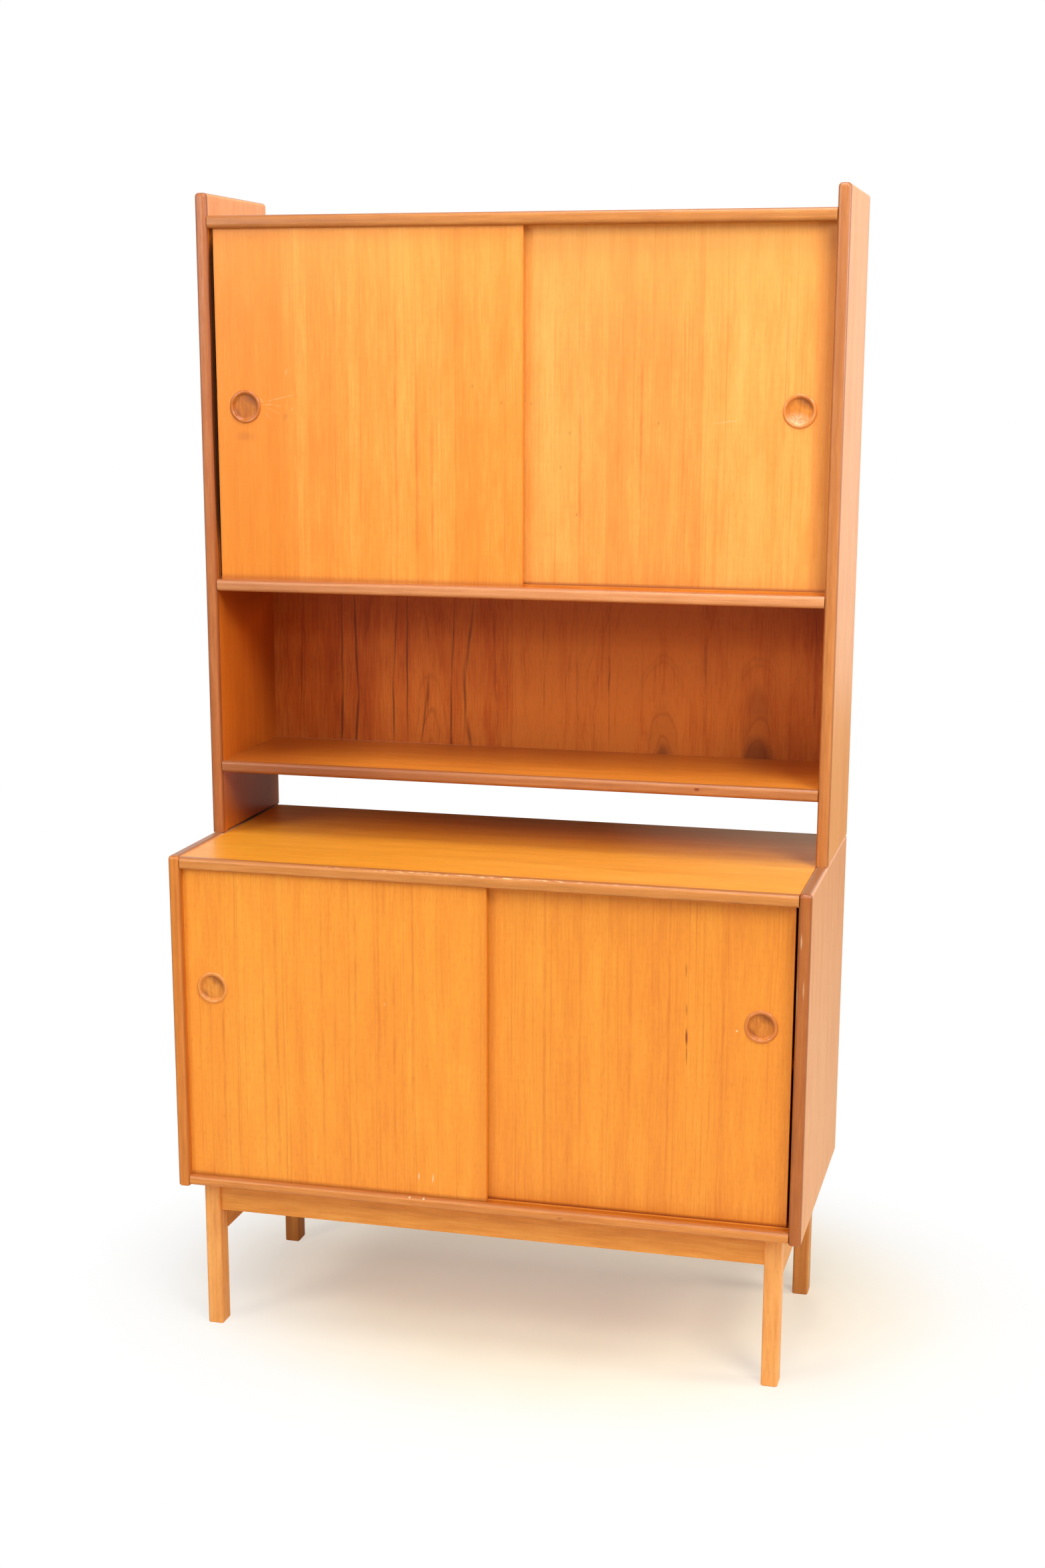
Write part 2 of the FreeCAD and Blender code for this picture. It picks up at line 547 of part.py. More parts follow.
def build_upper_cabinet():
    relief = box(-CABINET_WIDTH, CABINET_WIDTH, UPPER_FRONT + FOOT_RELIEF_FRONT, BACK - FOOT_RELIEF_BACK,
                 LOWER_SIDE_TOP_Z - OVERSHOOT, LOWER_SIDE_TOP_Z + FOOT_RELIEF_HEIGHT)
    for side, word in ((-1, "left"), (1, "right")):
        body = rounded_side(side, UPPER_FRONT, LOWER_SIDE_TOP_Z, UPPER_SIDE_TOP_Z, 0)
        cutters = [door_groove(side, UPPER_FRONT, MID_TOP_Z, UPPER_TOP_Z), relief,
                   side_rabbet(side, SHELF_Z, UPPER_BACK_TOP)]
        cutters += board_dowel_holes(UPPER_DOWELS) + pin_holes(UPPER_PINS) + STACKING_HOLES + UPPER_BACK_HOLES
        save_side("upper_" + word + "_side", body, UPPER_FRONT, cutters)
        save("upper_" + word + "_shelf", inner_shelf(side, UPPER_FRONT, MID_TOP_Z + UPPER_SHELF_HEIGHT))

    cuts = lower_board_cuts(UPPER_FRONT, MID_TOP_Z) + board_dowel_holes(UPPER_MID_DOWELS)
    save_track_board("upper_mid", UPPER_FRONT, MID_Z, MID_TOP_Z, MID_LIPPING_DROP,
                     cuts + UPPER_BACK_HOLES, PANEL_FRONT)
    cuts = upper_board_cuts(UPPER_FRONT, UPPER_TOP_Z) + board_dowel_holes(UPPER_TOP_DOWELS)
    save_track_board("upper_top", UPPER_FRONT, UPPER_TOP_Z, UPPER_TOP_Z + UPPER_TOP_THICKNESS, 0,
                     cuts + UPPER_BACK_HOLES, BACK)
    shelf = box(-INNER_HALF, INNER_HALF, UPPER_FRONT + BOARD_SET_BACK + LIPPING_DEPTH, PANEL_FRONT,
                SHELF_Z, SHELF_Z + OPEN_SHELF_THICKNESS)
    save("open_shelf_board", cut_all(shelf, board_dowel_holes(UPPER_SHELF_DOWELS) + UPPER_BACK_HOLES))
    save("open_shelf_lipping", lipping(UPPER_FRONT, LIPPING_DEPTH, SHELF_Z, SHELF_Z + OPEN_SHELF_THICKNESS))

    reach = INNER_HALF + BACK_RABBET - BACK_CLEARANCE
    panel = box(-reach, reach, PANEL_FRONT, BACK, SHELF_Z, UPPER_BACK_TOP)
    save("upper_back_panel", cut_all(panel, UPPER_BACK_HOLES))
    save("upper_divider", divider(UPPER_FRONT, MID_TOP_Z, UPPER_TOP_Z, UPPER_PINS))
    save("upper_shelf_pins", [pin(place, 0, 0) for place in UPPER_PINS])
    save("upper_back_screws", back_screws(UPPER_BACK_PLACES))
    save("upper_carcase_dowels", [board_dowel(place, 0, 0) for place in UPPER_DOWELS])
    save("stacking_dowels", [stacking_dowel(side, y, 0, 0) for side, y in STACKING_PLACES])
    save_door("upper_left", -1, UPPER_FRONT, MID_TOP_Z, UPPER_TOP_Z, UPPER_LEFT_AJAR, UPPER_PULL_HEIGHT)
    save_door("upper_right", 1, UPPER_FRONT, MID_TOP_Z, UPPER_TOP_Z, UPPER_RIGHT_AJAR, UPPER_PULL_HEIGHT)


def build_leg_frame():
    loose = (MORTISE_CLEARANCE, MORTISE_END_GAP)
    mortises = [cross_rail(FRONT_RAIL_Y, FRONT_RAIL_HEIGHT, *loose),
                cross_rail(REAR_RAIL_Y, REAR_RAIL_HEIGHT, *loose),
                side_rail(-1, *loose), side_rail(1, *loose)]
    for side, word in ((-1, "left"), (1, "right")):
        save("front_" + word + "_leg", leg(side, FRONT_LEG_Y, mortises))
        save("rear_" + word + "_leg", leg(side, REAR_LEG_Y, mortises))
        save(word + "_rail", side_rail(side, 0, 0))
    save("front_rail", cross_rail(FRONT_RAIL_Y, FRONT_RAIL_HEIGHT, 0, 0))
    save("rear_rail", cross_rail(REAR_RAIL_Y, REAR_RAIL_HEIGHT, 0, 0))
    blocks = [corner_block(side, back_side) for side, back_side in CORNERS]
    save("base_corner_blocks", [cut_all(block, BASE_SCREW_HOLES) for block in blocks])
    save("base_screws", [base_placed(slotted_screw(BASE_SCREW_LENGTH), place) for place in BASE_SCREW_PLACES])


build_lower_cabinet()
build_upper_cabinet()
build_leg_frame()
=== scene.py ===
from math import atan2, degrees, hypot, radians

import bpy
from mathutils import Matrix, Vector


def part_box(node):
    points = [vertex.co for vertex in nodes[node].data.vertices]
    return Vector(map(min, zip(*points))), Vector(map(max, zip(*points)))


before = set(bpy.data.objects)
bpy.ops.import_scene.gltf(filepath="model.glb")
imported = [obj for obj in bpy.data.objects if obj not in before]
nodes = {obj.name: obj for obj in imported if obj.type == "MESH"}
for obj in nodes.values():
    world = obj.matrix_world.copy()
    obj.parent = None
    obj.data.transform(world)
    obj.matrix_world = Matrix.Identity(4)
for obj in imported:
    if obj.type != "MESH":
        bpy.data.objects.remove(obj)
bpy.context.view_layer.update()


# Sizes that the finishes and the stage share

MM = 1000.0                  # millimetres in a metre
INNER_FACE = 481.0           # mm from the middle to the inner face of each side
UPPER_FOOT = 1200.5          # mm, the height at which the upper doors enter their lower groove
LOWER_FOOT = 264.0           # mm, the same for the lower doors
LOWER_TOP = 785.0            # mm, the height of the lower cabinet's top
SHELF_TOP = 905.0            # mm, about the height of the open shelf's top
ARCH_TOP = 1190.0            # mm, the height at which the arches on the figured back end
BACK_FACE = 215.0            # mm, the y of the figured back's front
UPPER_LIPPING = -33.0        # mm, the y of marks on the upper cabinet's lippings
LOWER_LIPPING = -216.0       # mm, the y of marks on the lower cabinet's lippings
SKIN = 5.0                   # mm, how deep a mark on a face reaches
WHOLE_WIDTH = 3000.0         # mm, half the width of a mark that crosses a whole face
WHOLE_HEIGHT = 6000.0        # mm, half the height of a mark that runs up a whole face
LEAF_SEAM = 0.4              # mm, half the width over which one veneer leaf turns into the next
INNER_SHADE_FADE = 3.0           # mm, the height over which the painted shade on an inward face fades out at its top
DISH_RADIUS = 18.5           # mm, where a pull's dish ends
RING_RADIUS = 20.5           # mm, where its ring begins
FLOOR = 14.0                 # m, the side of the square floor
SHADE_MIDDLE = (0.05, 0.12)  # m, the middle of the shaded patch on the floor
SHADE_REACH = (0.92, 0.72)   # m, how far that patch reaches from its middle


# Colours and nodes

def linear(hex_code):
    """An sRGB hex colour as linear red, green, blue and alpha."""
    channels = [int(hex_code[start:start + 2], 16) / 255 for start in (1, 3, 5)]
    return [c / 12.92 if c <= 0.04045 else ((c + 0.055) / 1.055) ** 2.4 for c in channels] + [1.0]


def add(tree, kind, inputs=None, stops=None, **settings):
    """Adds one node: its settings, its values or links by socket, and a colour ramp's stops."""
    node = tree.nodes.new(kind)
    for name, value in settings.items():
        setattr(node, name, value)
    for socket, value in (inputs or {}).items():
        if isinstance(value, bpy.types.NodeSocket):
            tree.links.new(value, node.inputs[socket])
        else:
            node.inputs[socket].default_value = value
    if stops:
        elements = node.color_ramp.elements
        for element, (position, colour) in ((elements[0], stops[0]), (elements[-1], stops[-1])):
            element.position, element.color = position, linear(colour)
        for position, colour in stops[1:-1]:
            elements.new(position).color = linear(colour)
    return node.outputs


def new_material(name):
    """An empty material and its node tree."""
    material = bpy.data.materials.new(name)
    material.use_nodes = True
    material.node_tree.nodes.clear()
    return material, material.node_tree


def place_in_mm(tree):
    """Places on the piece in millimetres of the part's frame."""
    place = add(tree, "ShaderNodeTexCoord")["Object"]
    return add(tree, "ShaderNodeVectorMath", {0: place, "Scale": MM}, operation="SCALE")[0]


# Figure of the wood

def grain_space(tree, along, face=0.0):
    """How far across and along the grain a place is, in mm. The two other axes add up to across,
    so that the figure runs on over an edge; on the face at y it is plain x."""
    from_face = {0: place_in_mm(tree), 1: (0, face, 0)}
    place = add(tree, "ShaderNodeVectorMath", from_face, operation="SUBTRACT")[0]
    axes = add(tree, "ShaderNodeSeparateXYZ", {0: place})
    others = [axes[axis] for axis in "XYZ" if axis != along]
    across = add(tree, "ShaderNodeMath", {0: others[0], 1: others[1]}, operation="ADD")[0]
    return across, axes[along]


def streaks(tree, across, length, width, reach, seed, detail=2.0):
    """Soft streaks of a width across and a reach along the grain, in mm, from 0 to 1."""
    place = add(tree, "ShaderNodeCombineXYZ", {0: across, 1: length})[0]
    scaled = add(tree, "ShaderNodeMapping", {
        "Vector": place, "Location": (seed, seed / 3, 0), "Scale": (1 / width, 1 / reach, 1)})[0]
    noise = add(tree, "ShaderNodeTexNoise", {
        "Vector": scaled, "Scale": 1.0, "Detail": detail, "Roughness": 0.6}, noise_dimensions="2D")[0]
    return add(tree, "ShaderNodeMapRange", {0: noise, 1: 0.25, 2: 0.75})[0]


def swayed(tree, across, length, sway, seed, width=90.0, reach=420.0):
    """Across the grain again, with lines that sway to each side by up to so many mm."""
    bend = streaks(tree, across, length, width, reach, seed, detail=1.0)
    shift = add(tree, "ShaderNodeMath", {0: bend, 1: -0.5}, operation="ADD")[0]
    return add(tree, "ShaderNodeMath", {0: shift, 1: 2 * sway, 2: across}, operation="MULTIPLY_ADD")[0]


def growth_lines(tree, across, length, spacing, width, seed):
    """Thin latewood lines about a spacing apart, in mm, some strong and some faint."""
    rings = add(tree, "ShaderNodeMath", {0: across, 1: 1 / spacing, 2: seed}, operation="MULTIPLY_ADD")[0]
    cells = add(tree, "ShaderNodeTexVoronoi", {"W": rings, "Scale": 1.0}, voronoi_dimensions="1D")
    line = add(tree, "ShaderNodeMapRange", {
        0: cells["Distance"], 1: 0.0, 2: width / spacing, 3: 1.0, 4: 0.0},
        interpolation_type="SMOOTHSTEP")[0]
    strength = add(tree, "ShaderNodeMapRange", {0: cells["Color"], 1: 0.35, 2: 0.8})[0]
    fading = streaks(tree, across, length, width=9.0, reach=180.0, seed=seed + 5, detail=1.0)
    drawn = add(tree, "ShaderNodeMath", {0: line, 1: strength}, operation="MULTIPLY")[0]
    return add(tree, "ShaderNodeMath", {0: drawn, 1: fading}, operation="MULTIPLY")[0]


def pores(tree, across, length, seed):
    """Open pores, dashes of 0.2 by 4 mm, drawn 0.8 by 11 mm so that they show."""
    dashes = streaks(tree, across, length, width=0.8, reach=11.0, seed=seed, detail=0.0)
    return add(tree, "ShaderNodeMapRange", {0: dashes, 1: 0.7, 2: 0.95})[0]


def weighed(tree, parts):
    """One tone around 0.5 from parts that each run from 0 to 1, each with its weight."""
    tone = 0.5 - sum(weight for part, weight in parts) / 2
    for part, weight in parts:
        tone = add(tree, "ShaderNodeMath", {0: part, 1: weight, 2: tone}, operation="MULTIPLY_ADD")[0]
    return tone


def leaf_tones(tree, across, edges):
    """Veneer leaves side by side: at each edge, in mm, the tone steps up or down."""
    tone = 0.5
    for edge, step in edges:
        jump = add(tree, "ShaderNodeMapRange", {
            0: across, 1: edge - LEAF_SEAM, 2: edge + LEAF_SEAM, 3: 0.0, 4: step})[0]
        tone = add(tree, "ShaderNodeMath", {0: jump, 1: tone}, operation="ADD")[0]
    return tone


def marks(tree, spots, aside=0.0):
    """Small marks from 0 to 1, each an ellipsoid: centre and half sizes in mm, turn about Y in degrees
    and strength, where more than 1 gives a firmer edge. Aside moves them along X by so many mm."""
    shift = add(tree, "ShaderNodeCombineXYZ", {0: aside})[0]
    place = add(tree, "ShaderNodeVectorMath", {0: place_in_mm(tree), 1: shift}, operation="ADD")[0]
    total = 0.0
    for centre, half_sizes, turn, strength in spots:
        local = add(tree, "ShaderNodeMapping", {
            "Vector": place, "Location": centre, "Rotation": (0, radians(turn), 0), "Scale": half_sizes},
            vector_type="TEXTURE")[0]
        spot = add(tree, "ShaderNodeTexGradient", {0: local}, gradient_type="SPHERICAL")["Fac"]
        weak = add(tree, "ShaderNodeMath", {0: spot, 1: strength}, operation="MULTIPLY", use_clamp=True)[0]
        total = add(tree, "ShaderNodeMath", {0: weak, 1: total}, operation="MAXIMUM")[0]
    return total


def rubbed(tree, across, length, arrises, seed):
    """Patches where an arris is rubbed bare. An arris is an ellipsoid, as a mark is."""
    near = marks(tree, arrises)
    patches = streaks(tree, across, length, width=3.0, reach=14.0, seed=seed, detail=3.0)
    worn = add(tree, "ShaderNodeMath", {0: near, 1: patches}, operation="MULTIPLY")[0]
    return add(tree, "ShaderNodeMapRange", {0: worn, 1: 0.3, 2: 0.55})[0]


def facing(tree, way):
    """1 on the faces that look along a direction, 0 on the others."""
    normal = add(tree, "ShaderNodeTexCoord")["Normal"]
    share = add(tree, "ShaderNodeVectorMath", {0: normal, 1: way}, operation="DOT_PRODUCT")["Value"]
    return add(tree, "ShaderNodeMapRange", {0: share, 1: 0.6, 2: 0.9})[0]


def arched(tree, across, length, arches):
    """Across the grain where a flat-sawn leaf is cut through the rings at a slope: the lines close
    in arches over each centre (across, foot, slope), and above the arches they run straight up."""
    height = add(tree, "ShaderNodeMath", {0: length, 1: ARCH_TOP}, operation="MINIMUM")[0]
    place = add(tree, "ShaderNodeCombineXYZ", {0: across, 1: height})[0]
    nearest = None
    for centre, foot, slope in arches:
        local = add(tree, "ShaderNodeMapping", {
            "Vector": place, "Location": (centre, foot, 0), "Scale": (1, 1 / slope, 1)},
            vector_type="TEXTURE")[0]
        ring = add(tree, "ShaderNodeVectorMath", {0: local}, operation="LENGTH")["Value"]
        nearest = ring if nearest is None else add(
            tree, "ShaderNodeMath", {0: nearest, 1: ring}, operation="MINIMUM")[0]
    return nearest


def tinted(tree, colour, tint, amount, depth=1.0):
    """A colour moved towards a tint, by an amount from 0 to 1 times a depth."""
    share = add(tree, "ShaderNodeMath", {0: amount, 1: depth}, operation="MULTIPLY")[0]
    return add(tree, "ShaderNodeMix", {0: share, 6: colour, 7: linear(tint)}, data_type="RGBA")[2]


def stained(tree, colour, across, length, seed, tint, spots, depth=1.0, ragged=0.0, broken=False):
    """A colour with marks of one tint: how deep it goes, by how many mm the marks stray with the grain,
    and whether they come and go along it."""
    edge = swayed(tree, across, length, ragged, seed, width=30.0, reach=70.0)
    aside = add(tree, "ShaderNodeMath", {0: edge, 1: across}, operation="SUBTRACT")[0]
    amount = marks(tree, spots, aside)
    if broken:
        patches = streaks(tree, across, length, width=14.0, reach=60.0, seed=seed + 5)
        amount = add(tree, "ShaderNodeMath", {0: amount, 1: patches}, operation="MULTIPLY")[0]
    return tinted(tree, colour, tint, amount, depth)


def painted_shade_and_top_edge(tree, colour, length, shaded_side, top_edge, arris):
    """A colour with painted shade: deeper on the shaded side, which looks one way and ends at a height,
    another tint on the top edge, and a darker painted shade round the arrises."""
    if shaded_side:
        way, top, deeper = shaded_side
        below = add(tree, "ShaderNodeMapRange", {
            0: length, 1: top - INNER_SHADE_FADE, 2: top, 3: 1.0, 4: 0.0})[0]
        inside = add(tree, "ShaderNodeMath", {0: facing(tree, way), 1: below}, operation="MULTIPLY")[0]
        colour = add(tree, "ShaderNodeMix", {0: inside, 6: colour, 7: linear(deeper)}, data_type="RGBA",
                     blend_type="MULTIPLY")[2]
    if top_edge:
        colour = tinted(tree, colour, top_edge, facing(tree, (0, 0, 1)))
    if arris:
        tint, depth = arris
        away = add(tree, "ShaderNodeMapRange", {0: facing(tree, (0, -1, 0)), 3: 1.0, 4: 0.0})[0]
        colour = tinted(tree, colour, tint, away, depth)
    return colour


def finished(tree, colour, roughness, height, specular, relief=0.12, **sockets):
    """The surface over a colour: its roughness, its relief in mm and how strongly it mirrors."""
    normal = add(tree, "ShaderNodeBump", {"Height": height, "Strength": 0.5, "Distance": relief / MM})[0]
    shader = add(tree, "ShaderNodeBsdfPrincipled", {
        "Base Color": colour, "Roughness": roughness, "Specular IOR Level": specular, "Normal": normal,
        **sockets})[0]
    add(tree, "ShaderNodeOutputMaterial", {0: shader})


def teak(name, along, palette, line_colour, seed, face=0.0, bands=0.25, clouds=0.25, fine=0.4,
         shimmer=0.04, pore_strength=0.14, line_spacing=7.0, line_width=1.8, line_strength=0.55, sway=4.0,
         band_width=50.0, cloud_size=(26.0, 130.0), leaf_edges=(), arches=(), stains=(), worn=None,
         shaded_side=None, top_edge=None, arris=None, roughness=0.42, specular=0.5):
    """Teak under satin lacquer: warm bands along the grain, thin red-brown latewood lines, soft clouds
    and a faint cross shimmer where the light catches the fibres, and fine open pores. Stains, painted
    shade on some faces and round the arrises, and worn arrises each come with their tint."""
    material, tree = new_material(name)
    straight, length = grain_space(tree, along, face)
    across = swayed(tree, straight, length, sway, seed)
    rings = across
    if arches:
        bent = swayed(tree, across, length, sway=4.0, seed=seed + 3, width=40.0, reach=60.0)
        rings = arched(tree, bent, length, arches)
    wide = streaks(tree, rings, length, width=band_width, reach=1100.0, seed=seed + 11, detail=3.0)
    cloud = streaks(tree, straight, length, *cloud_size, seed=seed + 23, detail=3.0)
    thin = streaks(tree, across, length, width=2.2, reach=70.0, seed=seed + 31, detail=3.0)
    cross = streaks(tree, straight, length, width=15.0, reach=5.0, seed=seed + 37, detail=2.0)
    parts = [(wide, bands), (cloud, clouds), (thin, fine), (cross, shimmer)]
    if leaf_edges:
        parts.append((leaf_tones(tree, straight, leaf_edges), 0.5))
    tone = weighed(tree, parts)
    colour = add(tree, "ShaderNodeValToRGB", {0: tone}, stops=list(zip((0.1, 0.5, 0.9), palette)))[0]
    latewood = growth_lines(tree, rings, length, line_spacing, line_width, seed + 41)
    colour = tinted(tree, colour, line_colour, latewood, line_strength)
    holes = pores(tree, across, length, seed + 53)
    colour = tinted(tree, colour, line_colour, holes, pore_strength)
    colour = painted_shade_and_top_edge(tree, colour, length, shaded_side, top_edge, arris)
    if worn:
        tint, arrises = worn
        colour = tinted(tree, colour, tint, rubbed(tree, straight, length, arrises, seed + 67))
    for number, stain in enumerate(stains):
        colour = stained(tree, colour, straight, length, seed + 71 + number, **stain)
    gloss = add(tree, "ShaderNodeMapRange", {0: tone, 3: roughness + 0.05, 4: roughness - 0.05})[0]
    height = add(tree, "ShaderNodeMath", {0: thin, 1: holes}, operation="SUBTRACT")[0]
    finished(tree, colour, gloss, height, specular)
    return material


# Finishes of the pieces

BOARD_TONES = ("#C46C1C", "#DA8228", "#E89638")
SHELF_TONES = ("#CA7420", "#E0882C", "#EE9C3C")
TOP_TONES = ("#DC861E", "#ED9B2A", "#F8AE3E")
UPPER_SIDE_TONES = ("#DB8C4C", "#EA9F5A", "#F4B06C")
LOWER_SIDE_TONES = ("#D88E60", "#E7A16E", "#F2B280")
LIPPING_TONES = {
    "upper_left_side": ("#A25929", "#B36632", "#C27743"),
    "upper_right_side": ("#B86E34", "#C87C3E", "#D68C4E"),
    "lower_left_side": ("#C6722A", "#D88030", "#E48E3C"),
    "lower_right_side": ("#A05420", "#B26228", "#C07238"),
    "upper_top": ("#B87234", "#C87E3A", "#D68E46"),
    "upper_mid": ("#C88250", "#DA905A", "#E6A06A"),
    "open_shelf": ("#AE6A38", "#C07842", "#CE8850"),
    "lower_top": ("#BE7838", "#D0843E", "#DC924E"),
    "lower_bottom": ("#C6783A", "#D88840", "#E4984E")}
BACK_TONES = ("#AE4E18", "#CA6622", "#DE8032")
BASE_TONES = ("#E29248", "#F4A85A", "#FDBB6E")
RAIL_TONES = ("#D6822E", "#E8963C", "#F4AA50")
REAR_LEG_TONES = ("#BC722E", "#D0863C", "#DE984A")
PULL_TONES = {
    "upper_left_pull": (("#A85A12", "#C06C1C", "#D27E28"), "#C06C30"),
    "upper_right_pull": (("#C67226", "#DA8530", "#E8983E"), "#DE8A44"),
    "lower_left_pull": (("#CE7C2E", "#E29038", "#F0A248"), "#E8964A"),
    "lower_right_pull": (("#C06C22", "#D47E2C", "#E29038"), "#D88240")}
DOOR_LINE = "#D2681C"
BROWN_LINE = "#8E4A20"
BACK_LINE = "#7A2E12"
BLACK_LINE = "#4A1C10"
# Resin red-brown; also the painted shade line along the foot of the doors.
RESIN_AND_SHADE = "#8A3812"
PAINT = "#FFE6C4"


def face_mark(face, x, z, half_x, half_z, turn=0, strength=1.0):
    """A mark on the face at y: its place, half sizes, turn in degrees and strength."""
    return (x, face, z), (half_x, SKIN, half_z), turn, strength


def grain_mark(face, foot, top, half_width, strength=1.0):
    """A mark along the grain on the face at y, from a foot (x, z) to a top (x, z)."""
    run, rise = top[0] - foot[0], top[1] - foot[1]
    x, z = (foot[0] + top[0]) / 2, (foot[1] + top[1]) / 2
    return face_mark(face, x, z, half_width, hypot(run, rise) / 2, degrees(atan2(run, rise)), strength)


def grain_lines(face, low, places):
    """Broad soft lines up the grain on the face at y, each at an x and up to a height."""
    return [grain_mark(face, (x, low), (x, top), half_width=3.2, strength=1.2) for x, top in places]


def pin_knot(face, x, z):
    """A small red-brown knot on the face at y."""
    return face_mark(face, x, z, half_x=1.7, half_z=3.6, turn=4, strength=1.3)


def painted_foot_shade(face, foot, strength):
    """Painted shade, a dark line along a door's foot, where it runs in its groove."""
    return (0, face, foot - 1.0), (WHOLE_WIDTH, 20.0, 7.0), 0, strength


def painted_top_light(face, x):
    """Painted light on the upper end of a door, on the face at y."""
    return face_mark(face, x, 1740, half_x=420, half_z=150, strength=1.2)


def upper_left_door_veneer():
    """Straight-cut teak veneer, orange and straw-yellow leaves, scratched beside the pull."""
    face = -22.0
    palette = ("#DC781A", "#EE902E", "#FFAC4A")
    lines = grain_lines(face, 1150, ((-185, 1690), (-152, 1620), (-127, 1540)))
    bruises = [face_mark(face, -367, 1450, 8, 10, 0, 0.6), face_mark(face, -430, 1420, 16, 10, 0, 0.6)]
    knots = [pin_knot(face, -63, 1498), pin_knot(face, -17, 1474)]
    outer_leaf = [face_mark(face, -520, 1465, 174, WHOLE_HEIGHT, 0, 5.0)]
    scratches = [face_mark(face, *scratch) for scratch in (
        (-361, 1517, 1.6, 7, 20, 0.9), (-372, 1478, 34, 0.8, -13, 0.9), (-392, 1468, 14, 0.8, -4, 0.9),
        (-376, 1466, 9, 0.7, 10, 0.7), (-384, 1459, 16, 0.7, 24, 0.8), (-391, 1450, 10, 0.7, 48, 0.8),
        (-352, 1462, 6, 0.8, -30, 0.7), (-402, 1474, 5, 1.0, 60, 0.9))]
    return teak("upper_left_door_teak_veneer", "Z", palette, DOOR_LINE, 3.1, face,
                bands=0.2, clouds=0.18, fine=0.28, sway=2.0, line_strength=0.5,
                leaf_edges=((-346, 0.25), (-327, -0.3), (-261, 0.3), (-91, -0.25), (-53, 0.15)),
                # Among the stains, painted light on the upper end and a painted shade line along the foot.
                stains=(dict(tint="#E07C06", spots=outer_leaf, depth=0.45),
                        dict(tint="#FFB650", spots=[painted_top_light(face, -240)], depth=0.25),
                        dict(tint=DOOR_LINE, spots=lines, depth=0.7, ragged=0.6, broken=True),
                        dict(tint=BROWN_LINE, spots=bruises, depth=0.5, ragged=6.0),
                        dict(tint=RESIN_AND_SHADE, spots=knots, depth=0.45),
                        dict(tint=RESIN_AND_SHADE, spots=[painted_foot_shade(face, UPPER_FOOT, 0.8)], depth=0.5),
                        dict(tint="#FFDCAC", spots=scratches, depth=0.8, broken=True)))


def upper_right_door_veneer():
    """Straight-cut teak veneer, the palest of the four, with pin knots and painted shadow along its outer
    end.
    """
    face = -8.5
    palette = ("#E48834", "#F19F46", "#FFB65C")
    lines = grain_lines(face, 1150, ((103, 1560), (196, 1690)))
    knots = [pin_knot(face, x, z) for x, z in ((26, 1472), (86, 1429), (72, 1378), (222, 1445), (98, 1308))]
    painted_side_shadow = [face_mark(face, 522, 1465, 76, WHOLE_HEIGHT, 0, 6.0)]
    scratches = [face_mark(face, 325, 1448, 28, 0.6, -8, 0.5)]
    return teak("upper_right_door_teak_veneer", "Z", palette, DOOR_LINE, 17.4, face,
                fine=0.28, sway=2.5, line_strength=0.45,
                leaf_edges=((144, -0.3), (289, 0.5), (322, -0.1)),
                # Among the stains, painted light on the upper end, painted shadow along the outer end and a
                # painted shade line along the foot.
                stains=(dict(tint="#FFC05C", spots=[painted_top_light(face, 240)], depth=0.32),
                        dict(tint=DOOR_LINE, spots=lines, depth=0.7, ragged=0.6, broken=True),
                        dict(tint="#B8661E", spots=painted_side_shadow, depth=0.4),
                        dict(tint=RESIN_AND_SHADE, spots=knots, depth=0.45),
                        dict(tint=BROWN_LINE, spots=[painted_foot_shade(face, UPPER_FOOT, 1.3)], depth=0.9),
                        dict(tint=PAINT, spots=scratches)))


def lower_left_door_veneer():
    """Straight-cut teak veneer, evenly striped, with two splashes of old pale paint at its foot."""
    face = -207.0
    palette = ("#EA882A", "#F99C32", "#FFAE3E")
    lines = grain_lines(face, 150, (
        (-420, 900), (-352, 780), (-331, 900), (-255, 850), (-200, 900), (-163, 950), (-138, 800),
        (-108, 900)))
    painted_edge_shade = [face_mark(face, 18, 515, 34, WHOLE_HEIGHT, 0, 1.2)]
    splashes = [face_mark(face, -100, 295, 1.3, 8, 5), face_mark(face, -77, 293.5, 1.4, 9, 5),
                face_mark(face, -153, 571, 1.2, 3, 0, 0.5)]
    return teak("lower_left_door_teak_veneer", "Z", palette, DOOR_LINE, 31.7, face,
                clouds=0.2, fine=0.34, sway=2.5, line_strength=0.5, pore_strength=0.2,
                leaf_edges=((-416, 0.2), (-300, -0.2)),
                # Among the stains, painted shade along the inner edge and along the foot.
                stains=(dict(tint="#D87A1E", spots=painted_edge_shade, depth=0.4),
                        dict(tint=DOOR_LINE, spots=lines, depth=0.6, ragged=0.6, broken=True),
                        dict(tint=RESIN_AND_SHADE, spots=[painted_foot_shade(face, LOWER_FOOT, 1.0)], depth=0.6),
                        dict(tint=PAINT, spots=splashes)))


